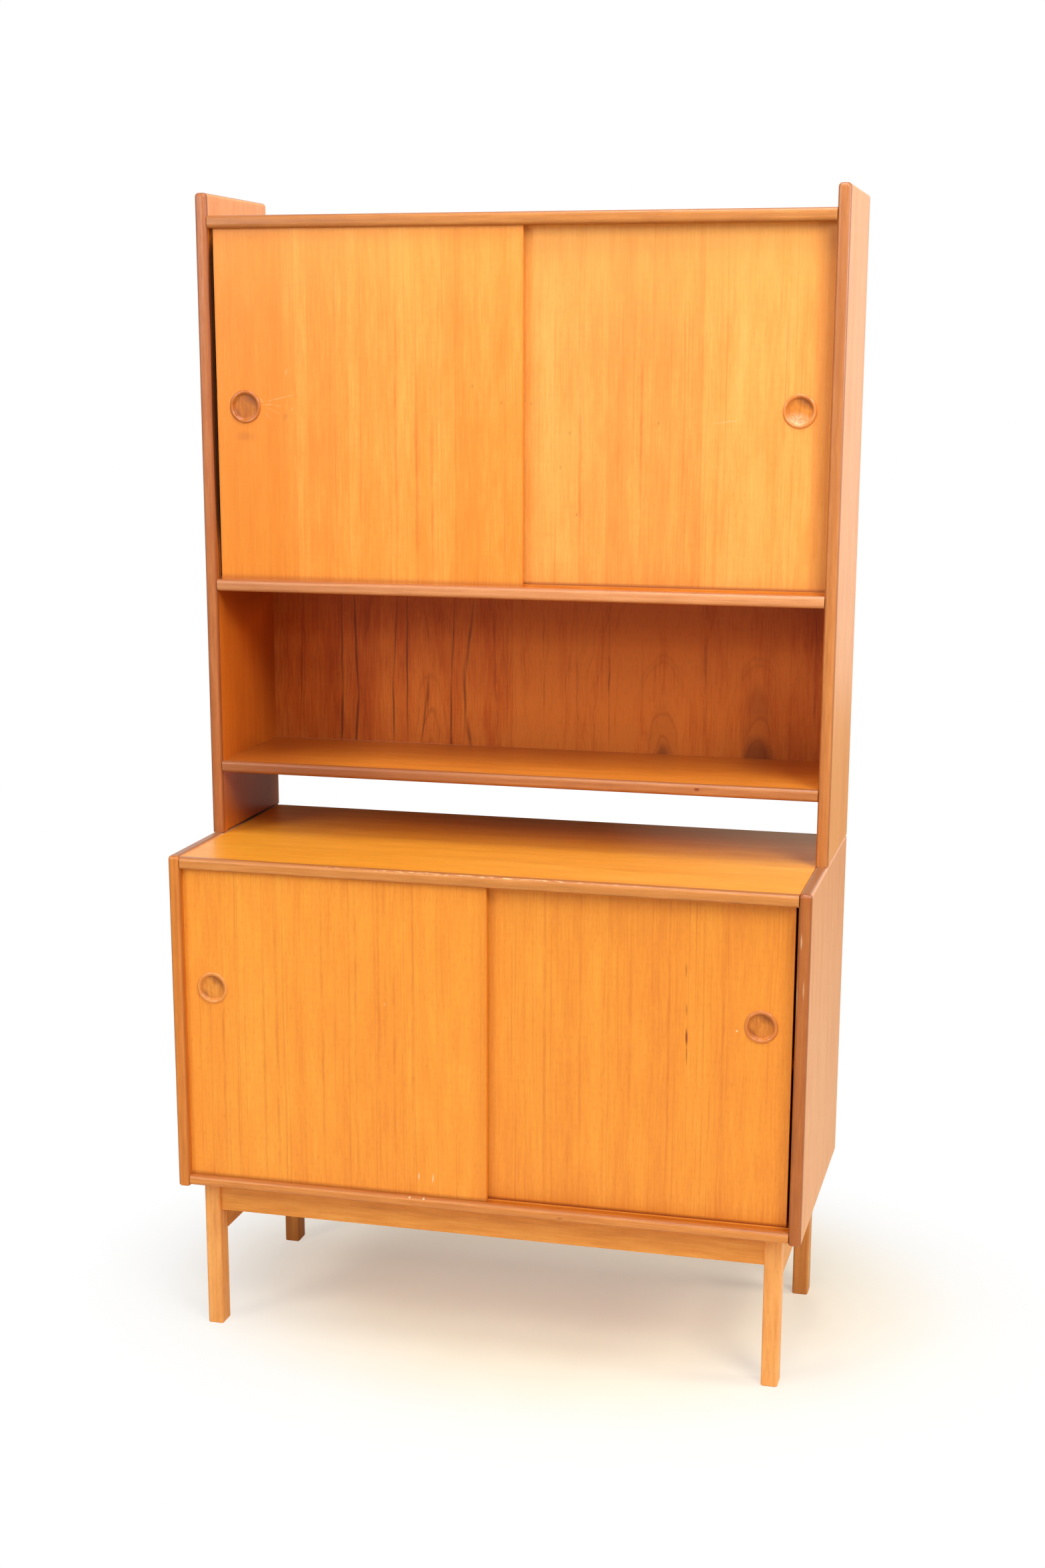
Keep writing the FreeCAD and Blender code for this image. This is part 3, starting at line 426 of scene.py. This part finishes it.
def lower_right_door_veneer():
    """Straight-cut teak veneer with one short red-brown resin streak."""
    face = -193.5
    palette = ("#E4832A", "#F3972F", "#FFA93C")
    lines = grain_lines(face, 150, (
        (97, 850), (134, 750), (153, 900), (189, 800), (230, 900), (289, 850), (372, 900)))
    resin = [grain_mark(face, *streak) for streak in (
        ((316.6, 534), (315.9, 568), 2.2, 1.6), ((317.2, 504), (316.4, 545), 1.2, 1.0),
        ((315.6, 582), (315.2, 606), 1.4, 0.8), ((314.2, 640), (313.8, 668), 1.6, 0.7))]
    painted_edge_shade = [face_mark(face, -6, 515, 30, WHOLE_HEIGHT, 0, 1.2)]
    specks = [face_mark(face, 392, 567, 2.0, 2.2)]
    return teak("lower_right_door_teak_veneer", "Z", palette, DOOR_LINE, 47.9, face,
                clouds=0.2, bands=0.3, fine=0.33, sway=2.5, line_strength=0.5, pore_strength=0.2,
                # Among the stains, painted shade along the inner edge and along the foot.
                stains=(dict(tint="#B8661E", spots=painted_edge_shade, depth=0.3),
                        dict(tint=DOOR_LINE, spots=lines, depth=0.6, ragged=0.6, broken=True),
                        dict(tint=RESIN_AND_SHADE, spots=resin),
                        dict(tint=PAINT, spots=specks),
                        dict(tint=RESIN_AND_SHADE, spots=[painted_foot_shade(face, LOWER_FOOT, 1.4)], depth=0.9)))


def gap_shade():
    """Painted shade, nearly black, on the inner face beside the door that stands ajar and at the foot."""
    heights = ((1465.5, 266), (1620, 112))
    spots = [((-INNER_FACE, -19, z), (8, 13, half_height), 0, 6.0) for z, half_height in heights]
    spots.append(((-INNER_FACE, 110, LOWER_TOP + 2), (6, 125, 4), 0, 2.0))
    return dict(tint="#35140A", spots=spots, depth=0.88)


def side_veneer(name, seed, inward):
    """Teak veneer that runs up the sides, with painted shade: deeper in colour on the inward faces and
    darker in the corners of the bay.
    """
    palette, top, deeper = LOWER_SIDE_TONES, LOWER_TOP, "#DEB254"
    if name.startswith("upper"):
        palette, top, deeper = UPPER_SIDE_TONES, 1750.0, "#E8BA64"
    # Painted shade in the corners of the bay: at its top, under the open shelf and along its back.
    painted_corner_shade = []
    for inner in (-INNER_FACE, INNER_FACE):
        painted_corner_shade += [((inner, 100, z), (15, 180, 90), 0, 1.8) for z in (1190, 840)]
        painted_corner_shade.append(((inner, 225, 1040), (15, 130, 400), 0, 0.8))
    return teak(name, "Z", palette, "#A85C24", seed, shaded_side=(inward, top, deeper), top_edge="#9C6238",
                roughness=0.36, line_strength=0.4,
                stains=(dict(tint="#5A1E08", spots=painted_corner_shade, depth=0.5), gap_shade()))


def board_veneer(name, seed, palette=BOARD_TONES, stains=()):
    """Teak veneer that runs along the boards, oiled to a low sheen."""
    return teak(name, "X", palette, "#A8561A", seed, stains=stains, roughness=0.33, specular=0.35)


def divider_veneer(name, seed):
    """Teak veneer that runs up the dividers, kept deep in colour behind the doors."""
    return teak(name, "Z", BOARD_TONES, "#A8561A", seed, line_strength=0.4, roughness=0.36)


def lipping_teak(piece, along, seed, stains=(), worn=None):
    """Solid teak edging, browner and smoother than the veneer, with soft streaks."""
    # The arris tint darkens every face that turns away from the front: painted shade.
    return teak(piece + "_teak_lipping", along, LIPPING_TONES[piece], BROWN_LINE, seed,
                bands=0.45, clouds=0.5, fine=0.28, shimmer=0.02, pore_strength=0.05,
                band_width=9.0, cloud_size=(7.0, 70.0), line_spacing=6.0, line_strength=0.4, sway=2.0,
                arris=("#7E3C1A", 0.45), roughness=0.34, stains=stains, worn=worn)


def figured_back_veneer():
    """Crown-cut teak on the bay's back: red-brown, with near-black resin lines on the left and, on the
    right, two tall arches that each stand over a dark flame."""
    face = BACK_FACE
    black = [grain_mark(face, *line) for line in (
        ((-438, 890), (-427, 1160), 1.8, 1.0), ((-363.5, 880), (-358.5, 1010), 3.4, 1.6),
        ((-358.7, 930), (-360, 1190), 2.2, 1.1), ((-340, 870), (-328.5, 1010), 3.2, 1.7),
        ((-329.5, 940), (-338.5, 1200), 2.6, 1.5), ((-269.2, 880), (-269.5, 1040), 2.4, 1.4),
        ((-270.5, 980), (-259, 1190), 2.0, 1.0), ((-245, 870), (-243, 1200), 2.2, 1.4),
        ((-222, 890), (-206, 1020), 2.4, 1.0), ((-209, 950), (-206.5, 1032), 3.4, 0.9),
        ((-166.5, 880), (-169.5, 1030), 2.3, 1.4), ((-166, 880), (-168, 940), 3.8, 1.1),
        ((-169, 970), (-158, 1200), 2.0, 1.0), ((-143, 920), (-144, 1065), 3.6, 1.1),
        ((-144.5, 1005), (-125, 1170), 3.2, 1.0), ((-131, 885), (-141, 958), 4.4, 1.0))]
    red = [grain_mark(face, *line) for line in (
        ((-200.5, 1055), (-216, 1150), 3.4, 1.0), ((-200.5, 1055), (-182, 1150), 3.4, 0.8),
        ((-396, 895), (-386, 1040), 2.0, 0.8), ((-91, 880), (-92.6, 1190), 2.6, 1.1),
        ((-69, 900), (-72, 1190), 2.0, 0.8), ((-6.3, 880), (-8.6, 1190), 2.0, 1.1),
        ((51, 880), (47, 1190), 2.2, 1.0), ((104, 880), (102, 1190), 2.6, 1.3),
        ((160, 890), (157, 1160), 2.0, 0.6), ((264, 880), (262, 1190), 4.5, 1.1),
        ((300, 890), (298, 1120), 2.0, 0.6), ((444, 880), (440, 1190), 3.0, 1.2))]
    # Painted shade along the top of the bay's back, under the upper board, and along its foot.
    edges = [face_mark(face, 0, 1205, WHOLE_WIDTH, 130, 0, 2.0), face_mark(face, 0, 895, WHOLE_WIDTH, 80)]
    domes = [face_mark(face, 192, 900, 26, 104, 0, 5.0), face_mark(face, 349, 925, 28, 104, 0, 4.0)]
    dome_top = [face_mark(face, 349, 996, 27, 40, 0, 1.6)]
    flames = [face_mark(face, 194, 893, 17, 38, 0, 2.2), face_mark(face, 351, 893, 31, 54, 0, 2.4)]
    return teak("figured_back_teak_veneer", "Z", BACK_TONES, BACK_LINE, 61.3, face, bands=0.35, clouds=0.35,
                fine=0.38, pore_strength=0.12, line_spacing=8.0, line_strength=0.45, sway=3.0,
                leaf_edges=((-600, 0.15), (-290, 0.2), (-60, 0.5), (238, -0.2), (400, -0.3)),
                arches=((-205, 880, 0.2), (193, 880, 0.3), (350, 880, 0.3)), roughness=0.38, specular=0.25,
                stains=(dict(tint="#6A2408", spots=edges, depth=0.34),
                        dict(tint=BACK_LINE, spots=domes, depth=0.16, ragged=5.0),
                        dict(tint=BACK_LINE, spots=dome_top, depth=0.2, ragged=5.0),
                        dict(tint=BACK_LINE, spots=red, depth=0.6, ragged=1.0, broken=True),
                        dict(tint=BLACK_LINE, spots=black, depth=0.68, ragged=0.9),
                        dict(tint=BLACK_LINE, spots=flames, depth=0.5, ragged=4.0)))


def plain_back_veneer():
    """Teak veneer on the hidden lower back, plain and straight."""
    return teak("plain_back_teak_veneer", "Z", BACK_TONES, BACK_LINE, 71.9, roughness=0.45)


def base_teak(name, along, seed, palette):
    """Solid honey-coloured teak of the leg frame, with a low oil sheen."""
    return teak(name, along, palette, "#B9712F", seed, band_width=16.0, clouds=0.5, cloud_size=(9.0, 90.0),
                line_spacing=7.0, line_strength=0.25, fine=0.25, sway=2.0, roughness=0.4)


def turned_teak(name, centre, palette, ring_tint, scuffed):
    """Teak turned on a lathe: a darker dish with painted shade under its upper rim and inside the ring at
    the lower left, and a polished ring. The one that is used the most is scuffed pale, without the lower
    shade."""
    material, tree = new_material(name)
    place = add(tree, "ShaderNodeVectorMath", {0: place_in_mm(tree), 1: centre}, operation="SUBTRACT")[0]
    flat = add(tree, "ShaderNodeVectorMath", {0: place, 1: (1, 0, 1)}, operation="MULTIPLY")[0]
    radius = add(tree, "ShaderNodeVectorMath", {0: flat}, operation="LENGTH")["Value"]
    axes = add(tree, "ShaderNodeSeparateXYZ", {0: place})
    grain = streaks(tree, axes["X"], axes["Z"], width=3.0, reach=40.0, seed=centre[0], detail=3.0)
    worn = streaks(tree, axes["X"], axes["Z"], width=9.0, reach=11.0, seed=centre[2], detail=3.0)
    tone = weighed(tree, [(grain, 0.5), (worn, 0.3)])
    colour = add(tree, "ShaderNodeValToRGB", {0: tone}, stops=list(zip((0.15, 0.5, 0.85), palette)))[0]
    x, y, z = centre
    # Painted shade under the upper rim and, except on the scuffed pull, inside the ring at the lower left.
    spots = [((x + 9, y, z + 15), (22, 20, 13), 25, 1.3)]
    if not scuffed:
        spots.append(((x - 14, y, z - 11), (6, 20, 15), -40, 1.2))
    colour = tinted(tree, colour, "#8A421A", marks(tree, spots), depth=0.65)
    if scuffed:
        foot = marks(tree, [((x - 4, y, z - 14), (22, 20, 14), 0, 1.4)])
        patches = streaks(tree, axes["X"], axes["Z"], width=3.0, reach=4.0, seed=7.0, detail=3.0)
        bare = add(tree, "ShaderNodeMath", {0: foot, 1: patches}, operation="MULTIPLY")[0]
        colour = tinted(tree, colour, "#FFCFA6", bare)
    ring = add(tree, "ShaderNodeMapRange", {0: radius, 1: DISH_RADIUS, 2: RING_RADIUS})[0]
    colour = tinted(tree, colour, ring_tint, ring, depth=0.75)
    gloss = add(tree, "ShaderNodeMapRange", {0: ring, 3: 0.36, 4: 0.16})[0]
    finished(tree, colour, gloss, grain, 0.42, relief=0.05)
    return material


def beech(name):
    """Plain beech rod: pale, with short dark flecks along the grain."""
    material, tree = new_material(name)
    across, length = grain_space(tree, "X")
    flecks = streaks(tree, across, length, width=0.8, reach=6.0, seed=5.0, detail=1.0)
    colour = add(tree, "ShaderNodeValToRGB", {0: flecks}, stops=[(0.2, "#B98A5C"), (0.6, "#DDB588")])[0]
    gloss = add(tree, "ShaderNodeMapRange", {0: flecks, 3: 0.6, 4: 0.5})[0]
    finished(tree, colour, gloss, flecks, 0.5)
    return material


def metal(name, dull, bright, roughness):
    """Bare metal with a drawn skin and slight stains, about 1.7 mm across."""
    material, tree = new_material(name)
    place = place_in_mm(tree)
    stain = add(tree, "ShaderNodeTexNoise", {"Vector": place, "Scale": 0.6, "Detail": 4.0})[0]
    colour = add(tree, "ShaderNodeValToRGB", {0: stain}, stops=[(0.35, dull), (0.65, bright)])[0]
    gloss = add(tree, "ShaderNodeMapRange", {0: stain, 3: roughness + 0.12, 4: roughness - 0.08})[0]
    finished(tree, colour, gloss, stain, 0.5, relief=0.05, Metallic=1.0)
    return material


def painted_floor():
    """Matt white floor: it takes the cabinet's shadow, which a weaker cream glow near it warms as painted
    light; far off it is plain white.
    """
    material, tree = new_material("matt_white_floor")
    place = add(tree, "ShaderNodeTexCoord")["Object"]
    spot = [side / FLOOR for side in SHADE_MIDDLE] + [0.0]
    reach = [side / FLOOR for side in SHADE_REACH] + [1.0]
    near = add(tree, "ShaderNodeMapping", {"Vector": place, "Location": spot, "Scale": reach},
               vector_type="TEXTURE")[0]
    middle = add(tree, "ShaderNodeTexGradient", {0: near}, gradient_type="SPHERICAL")["Fac"]
    far = add(tree, "ShaderNodeMapRange", {0: middle, 1: 0.05, 2: 0.7, 3: 1.0, 4: 0.38},
              interpolation_type="SMOOTHSTEP")[0]
    seen = add(tree, "ShaderNodeLightPath")["Is Camera Ray"]
    white = add(tree, "ShaderNodeMath", {0: far, 1: seen}, operation="MULTIPLY")[0]
    speckle = add(tree, "ShaderNodeTexNoise", {"Vector": place, "Scale": 6.0 * FLOOR, "Detail": 3.0})[0]
    colour = add(tree, "ShaderNodeValToRGB", {0: speckle}, stops=[(0.3, "#F4E8C6"), (0.7, "#FAF0D2")])[0]
    matt = add(tree, "ShaderNodeBsdfPrincipled", {"Base Color": colour, "Roughness": 0.7, "IOR": 1.45})[0]
    cream = add(tree, "ShaderNodeValToRGB", {0: far}, stops=[(0.38, "#FFF3E2"), (0.85, "#FFFFFF")])[0]
    glow = add(tree, "ShaderNodeEmission", {"Color": cream, "Strength": 1.0})[0]
    surface = add(tree, "ShaderNodeMixShader", {0: white, 1: matt, 2: glow})[0]
    add(tree, "ShaderNodeOutputMaterial", {0: surface})
    return material


def shade_brown():
    """Glowing card in browns: a painted reflection that gives the lower top its dark sheen towards the
    rear.
    """
    material, tree = new_material("shade_card_brown")
    place = add(tree, "ShaderNodeTexCoord")["Object"]
    side = add(tree, "ShaderNodeSeparateXYZ", {0: place})["X"]
    across = add(tree, "ShaderNodeMapRange", {0: side, 1: -0.5, 2: 0.5})[0]
    colour = add(tree, "ShaderNodeValToRGB", {0: across}, stops=[
        (0.0, "#74644E"), (0.25, "#4A3A2C"), (0.6, "#5A4A3A"), (1.0, "#E8E0C8")])[0]
    glow = add(tree, "ShaderNodeEmission", {"Color": colour, "Strength": 1.0})[0]
    add(tree, "ShaderNodeOutputMaterial", {0: glow})
    return material


def dress(material, *names):
    """Gives CAD nodes a material through their objects' own slots."""
    for name in names:
        for slot in nodes[name].material_slots:
            slot.link = "OBJECT"
            slot.material = material


def dress_doors():
    """Veneer for the four doors, and turned teak for the pull in each."""
    dress(upper_left_door_veneer(), "upper_left_door")
    dress(upper_right_door_veneer(), "upper_right_door")
    dress(lower_left_door_veneer(), "lower_left_door")
    dress(lower_right_door_veneer(), "lower_right_door")
    for pull, (palette, ring_tint) in PULL_TONES.items():
        low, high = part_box(pull)
        centre = [(a + b) / 2 * MM for a, b in zip(low, high)]
        scuffed = pull == "upper_right_pull"
        dress(turned_teak(pull + "_turned_teak", centre, palette, ring_tint, scuffed), pull)


def side_stains():
    """Marks on the lippings of the sides: painted shade beside the gap, a darker upper length and pale
    chips.
    """
    darker_upper_length = [((490, UPPER_LIPPING, 1610), (60, 40, 420), 0, 1.0)]
    chips = [grain_mark(LOWER_LIPPING - 3, *chip) for chip in (
        ((486.6, 702), (486.7, 732), 1.6, 1.2), ((491.9, 628), (491.9, 660), 1.6, 1.2),
        ((483.1, 599), (481.2, 690), 1.4, 1.0))]
    return {
        "upper_left_side": [gap_shade()],
        "upper_right_side": [dict(tint="#9A5428", spots=darker_upper_length, depth=0.45)],
        "lower_right_side": [dict(tint="#EBCBA4", spots=chips, broken=True)]}


def dress_sides():
    """Veneer and lippings for the two sides of each cabinet."""
    stains = side_stains()
    for number, row in enumerate(("lower", "upper")):
        for side, inward in (("left", (1, 0, 0)), ("right", (-1, 0, 0))):
            name = row + "_" + side + "_side"
            seed = 83.0 + 9 * number + 4 * inward[0]
            dress(side_veneer(name + "_teak_veneer", seed, inward), name)
            dress(lipping_teak(name, "Z", seed + 2, stains.get(name, ())), name + "_lipping")


def shaded_left_end(z):
    """Painted shade at the left end of an upper lipping at height z, browner than the rest."""
    return dict(tint=BROWN_LINE, spots=[((-440, UPPER_LIPPING, z), (420, 40, 60), 0, 1.0)], depth=0.4)


def lipping_stains():
    """Marks on the lippings of the boards: a dent, drops of old paint, painted shade at the left ends and a
    knot.
    """
    dent = [face_mark(LOWER_LIPPING, 129, 253, 6, 3, 0, 1.2)]
    drops = [face_mark(LOWER_LIPPING, x, 262, 2, 2) for x in (-113, -90)]
    shelf_left_end_shade = [((-330, UPPER_LIPPING, 896), (360, 40, 60), 0, 1.1)]
    shelf_knot = [((296, UPPER_LIPPING, 897.5), (6, 6, 3.4), 0, 1.4)]
    return {
        "lower_bottom": [dict(tint=BROWN_LINE, spots=dent), dict(tint=PAINT, spots=drops)],
        "upper_top": [shaded_left_end(1740)],
        "upper_mid": [shaded_left_end(1190)],
        "open_shelf": [dict(tint=BROWN_LINE, spots=shelf_left_end_shade, depth=0.85),
                       dict(tint=RESIN_AND_SHADE, spots=shelf_knot)]}


def painted_board_shade():
    """Painted shade on the two open boards, browner at the rear and on the left, with a painted grey
    reflection at the lower top's rear right and a pale rear edge on the shelf.
    """
    shelf_rear_shade = [((0, 230, SHELF_TOP), (700, 190, 60), 0, 1.2)]
    shelf_left_shade = [((-INNER_FACE, 60, SHELF_TOP), (240, 300, 60), 0, 1.4)]
    shelf_pale_rear_edge = [((-300, 216, SHELF_TOP), (280, 5, 6), 0, 1.6)]
    top_rear_shade = [((20, 225, LOWER_TOP), (420, 150, 60), 0, 1.2)]
    top_right_reflection = [((410, 205, LOWER_TOP), (340, 140, 60), 0, 1.4)]
    return {
        "open_shelf": [dict(tint="#984A14", spots=shelf_rear_shade, depth=0.8),
                       dict(tint="#944214", spots=shelf_left_shade, depth=0.7),
                       dict(tint="#D8BCB4", spots=shelf_pale_rear_edge, depth=0.6)],
        "lower_top": [dict(tint="#8A5418", spots=top_rear_shade, depth=0.4),
                      dict(tint="#C49C68", spots=top_right_reflection, depth=0.5)]}


def dress_boards():
    """Veneer and lippings for the five boards from side to side, the lower top's arris rubbed bare."""
    stains, board_shade = lipping_stains(), painted_board_shade()
    palettes = {"lower_top": TOP_TONES, "open_shelf": SHELF_TONES}
    worn = {"lower_top": ("#F0BE88", [((0, LOWER_LIPPING - 1, LOWER_TOP - 1), (560, 6, 4), 0, 0.85)])}
    for number, name in enumerate(("lower_bottom", "lower_top", "open_shelf", "upper_mid", "upper_top")):
        seed = 101.0 + 7 * number
        palette = palettes.get(name, BOARD_TONES)
        dress(board_veneer(name + "_teak_veneer", seed, palette, board_shade.get(name, ())), name + "_board")
        lipping = lipping_teak(name, "X", seed + 36, stains.get(name, ()), worn.get(name))
        dress(lipping, name + "_lipping")


def dress_inside():
    """Veneer for the backs, and for the shelves and dividers behind the doors."""
    dress(figured_back_veneer(), "upper_back_panel")
    dress(plain_back_veneer(), "lower_back_panel")
    for row in ("lower", "upper"):
        dress(board_veneer(row + "_shelf_teak_veneer", 177.0), row + "_left_shelf", row + "_right_shelf")
        dress(divider_veneer(row + "_divider_teak_veneer", 181.0), row + "_divider")


def dress_base():
    """Solid teak for the legs, the rails and the corner blocks."""
    front_legs, rear_legs = ("front_left_leg", "front_right_leg"), ("rear_left_leg", "rear_right_leg")
    side_pieces = ("left_rail", "right_rail", "base_corner_blocks")
    dress(base_teak("front_leg_teak", "Z", 191.0, BASE_TONES), *front_legs)
    dress(base_teak("rear_leg_teak", "Z", 193.0, REAR_LEG_TONES), *rear_legs)
    dress(base_teak("cross_rail_teak", "X", 197.0, RAIL_TONES), "front_rail", "rear_rail")
    dress(base_teak("side_rail_teak", "Y", 199.0, RAIL_TONES), *side_pieces)


def dress_fittings():
    """Beech for the dowels, steel for the screws and brass for the shelf pins."""
    dowels = ("lower_carcase_dowels", "upper_carcase_dowels", "stacking_dowels")
    screws = ("base_screws", "lower_back_screws", "upper_back_screws")
    dress(beech("beech_dowel"), *dowels)
    dress(metal("steel_screw", "#6E6A64", "#A29D95", 0.38), *screws)
    dress(metal("brass_pin", "#9A7434", "#C9A356", 0.32), "lower_shelf_pins", "upper_shelf_pins")


dress_doors()
dress_sides()
dress_boards()
dress_inside()
dress_base()
dress_fittings()


# Floor, light and camera

def flat_plane(name, material, place, tilt, width, depth):
    """A flat plane for the stage, in metres, tilted about X by so many degrees."""
    bpy.ops.object.select_all(action="DESELECT")
    bpy.ops.mesh.primitive_plane_add(size=1.0, location=place, rotation=(radians(tilt), 0, 0))
    plane = bpy.context.object
    plane.name, plane.scale = name, (width, depth, 1)
    plane.data.materials.append(material)
    return plane


def soft_light(name, place, target, size, power):
    """A soft square lamp at a place, turned towards a target, in metres and watts."""
    lamp = bpy.data.lights.new(name, "AREA")
    lamp.size, lamp.energy = size, power
    holder = bpy.data.objects.new(name, lamp)
    holder.location = place
    holder.rotation_euler = (Vector(target) - Vector(place)).to_track_quat("-Z", "Y").to_euler()
    bpy.context.scene.collection.objects.link(holder)


def studio_world():
    """A dim even light all round, and plain white where the camera, gloss or glass looks at it."""
    world = bpy.data.worlds.new("studio")
    bpy.context.scene.world = world
    world.use_nodes = True
    tree = world.node_tree
    tree.nodes.clear()
    path = add(tree, "ShaderNodeLightPath")
    seen = path["Is Camera Ray"]
    for kind in ("Is Glossy Ray", "Is Transmission Ray"):
        seen = add(tree, "ShaderNodeMath", {0: seen, 1: path[kind]}, operation="MAXIMUM")[0]
    dim = add(tree, "ShaderNodeBackground", {"Color": linear("#FFFFFF"), "Strength": 0.03})[0]
    white = add(tree, "ShaderNodeBackground", {"Color": linear("#FFFFFF"), "Strength": 1.0})[0]
    mixed = add(tree, "ShaderNodeMixShader", {0: seen, 1: dim, 2: white})[0]
    add(tree, "ShaderNodeOutputWorld", {0: mixed})


def photo_camera():
    """The camera where the photograph was taken from."""
    camera = bpy.data.objects.new("photo_camera", bpy.data.cameras.new("photo_camera"))
    camera.location = (0.87235, -3.33507, 1.53767)
    camera.rotation_euler = [radians(angle) for angle in (76.7064, -0.1596, 14.4975)]
    camera.data.lens, camera.data.sensor_width = 51.0, 36.0
    camera.data.shift_y = 0.06378
    bpy.context.scene.collection.objects.link(camera)
    bpy.context.scene.camera = camera


flat_plane("floor", painted_floor(), (0, 0, 0), 0, FLOOR, FLOOR)
card = flat_plane("shade_card", shade_brown(), (0, 0.223, 0.83), 90, 1.0, 0.16)
card.visible_camera = card.visible_diffuse = card.visible_shadow = False

soft_light("overhead_light", (0.2, -0.9, 4.2), (0, -0.2, 0.8), 1.6, 77.0)
soft_light("right_light", (2.0, -2.1, 3.05), (0, 0, 1.0), 1.2, 74.0)
soft_light("left_light", (-2.2, -2.6, 2.3), (0, 0, 1.0), 1.0, 40.0)
soft_light("right_side_light", (3.0, 0.15, 1.9), (0.5, 0.05, 1.0), 0.9, 38.0)
soft_light("front_light", (0.2, -4.2, 2.85), (0, 0, 1.0), 0.6, 14.0)
soft_light("rear_light", (-0.6, 3.4, 0.45), (0, 0, 0.6), 0.8, 25.0)
studio_world()
photo_camera()
bpy.context.scene.view_settings.view_transform = "Standard"
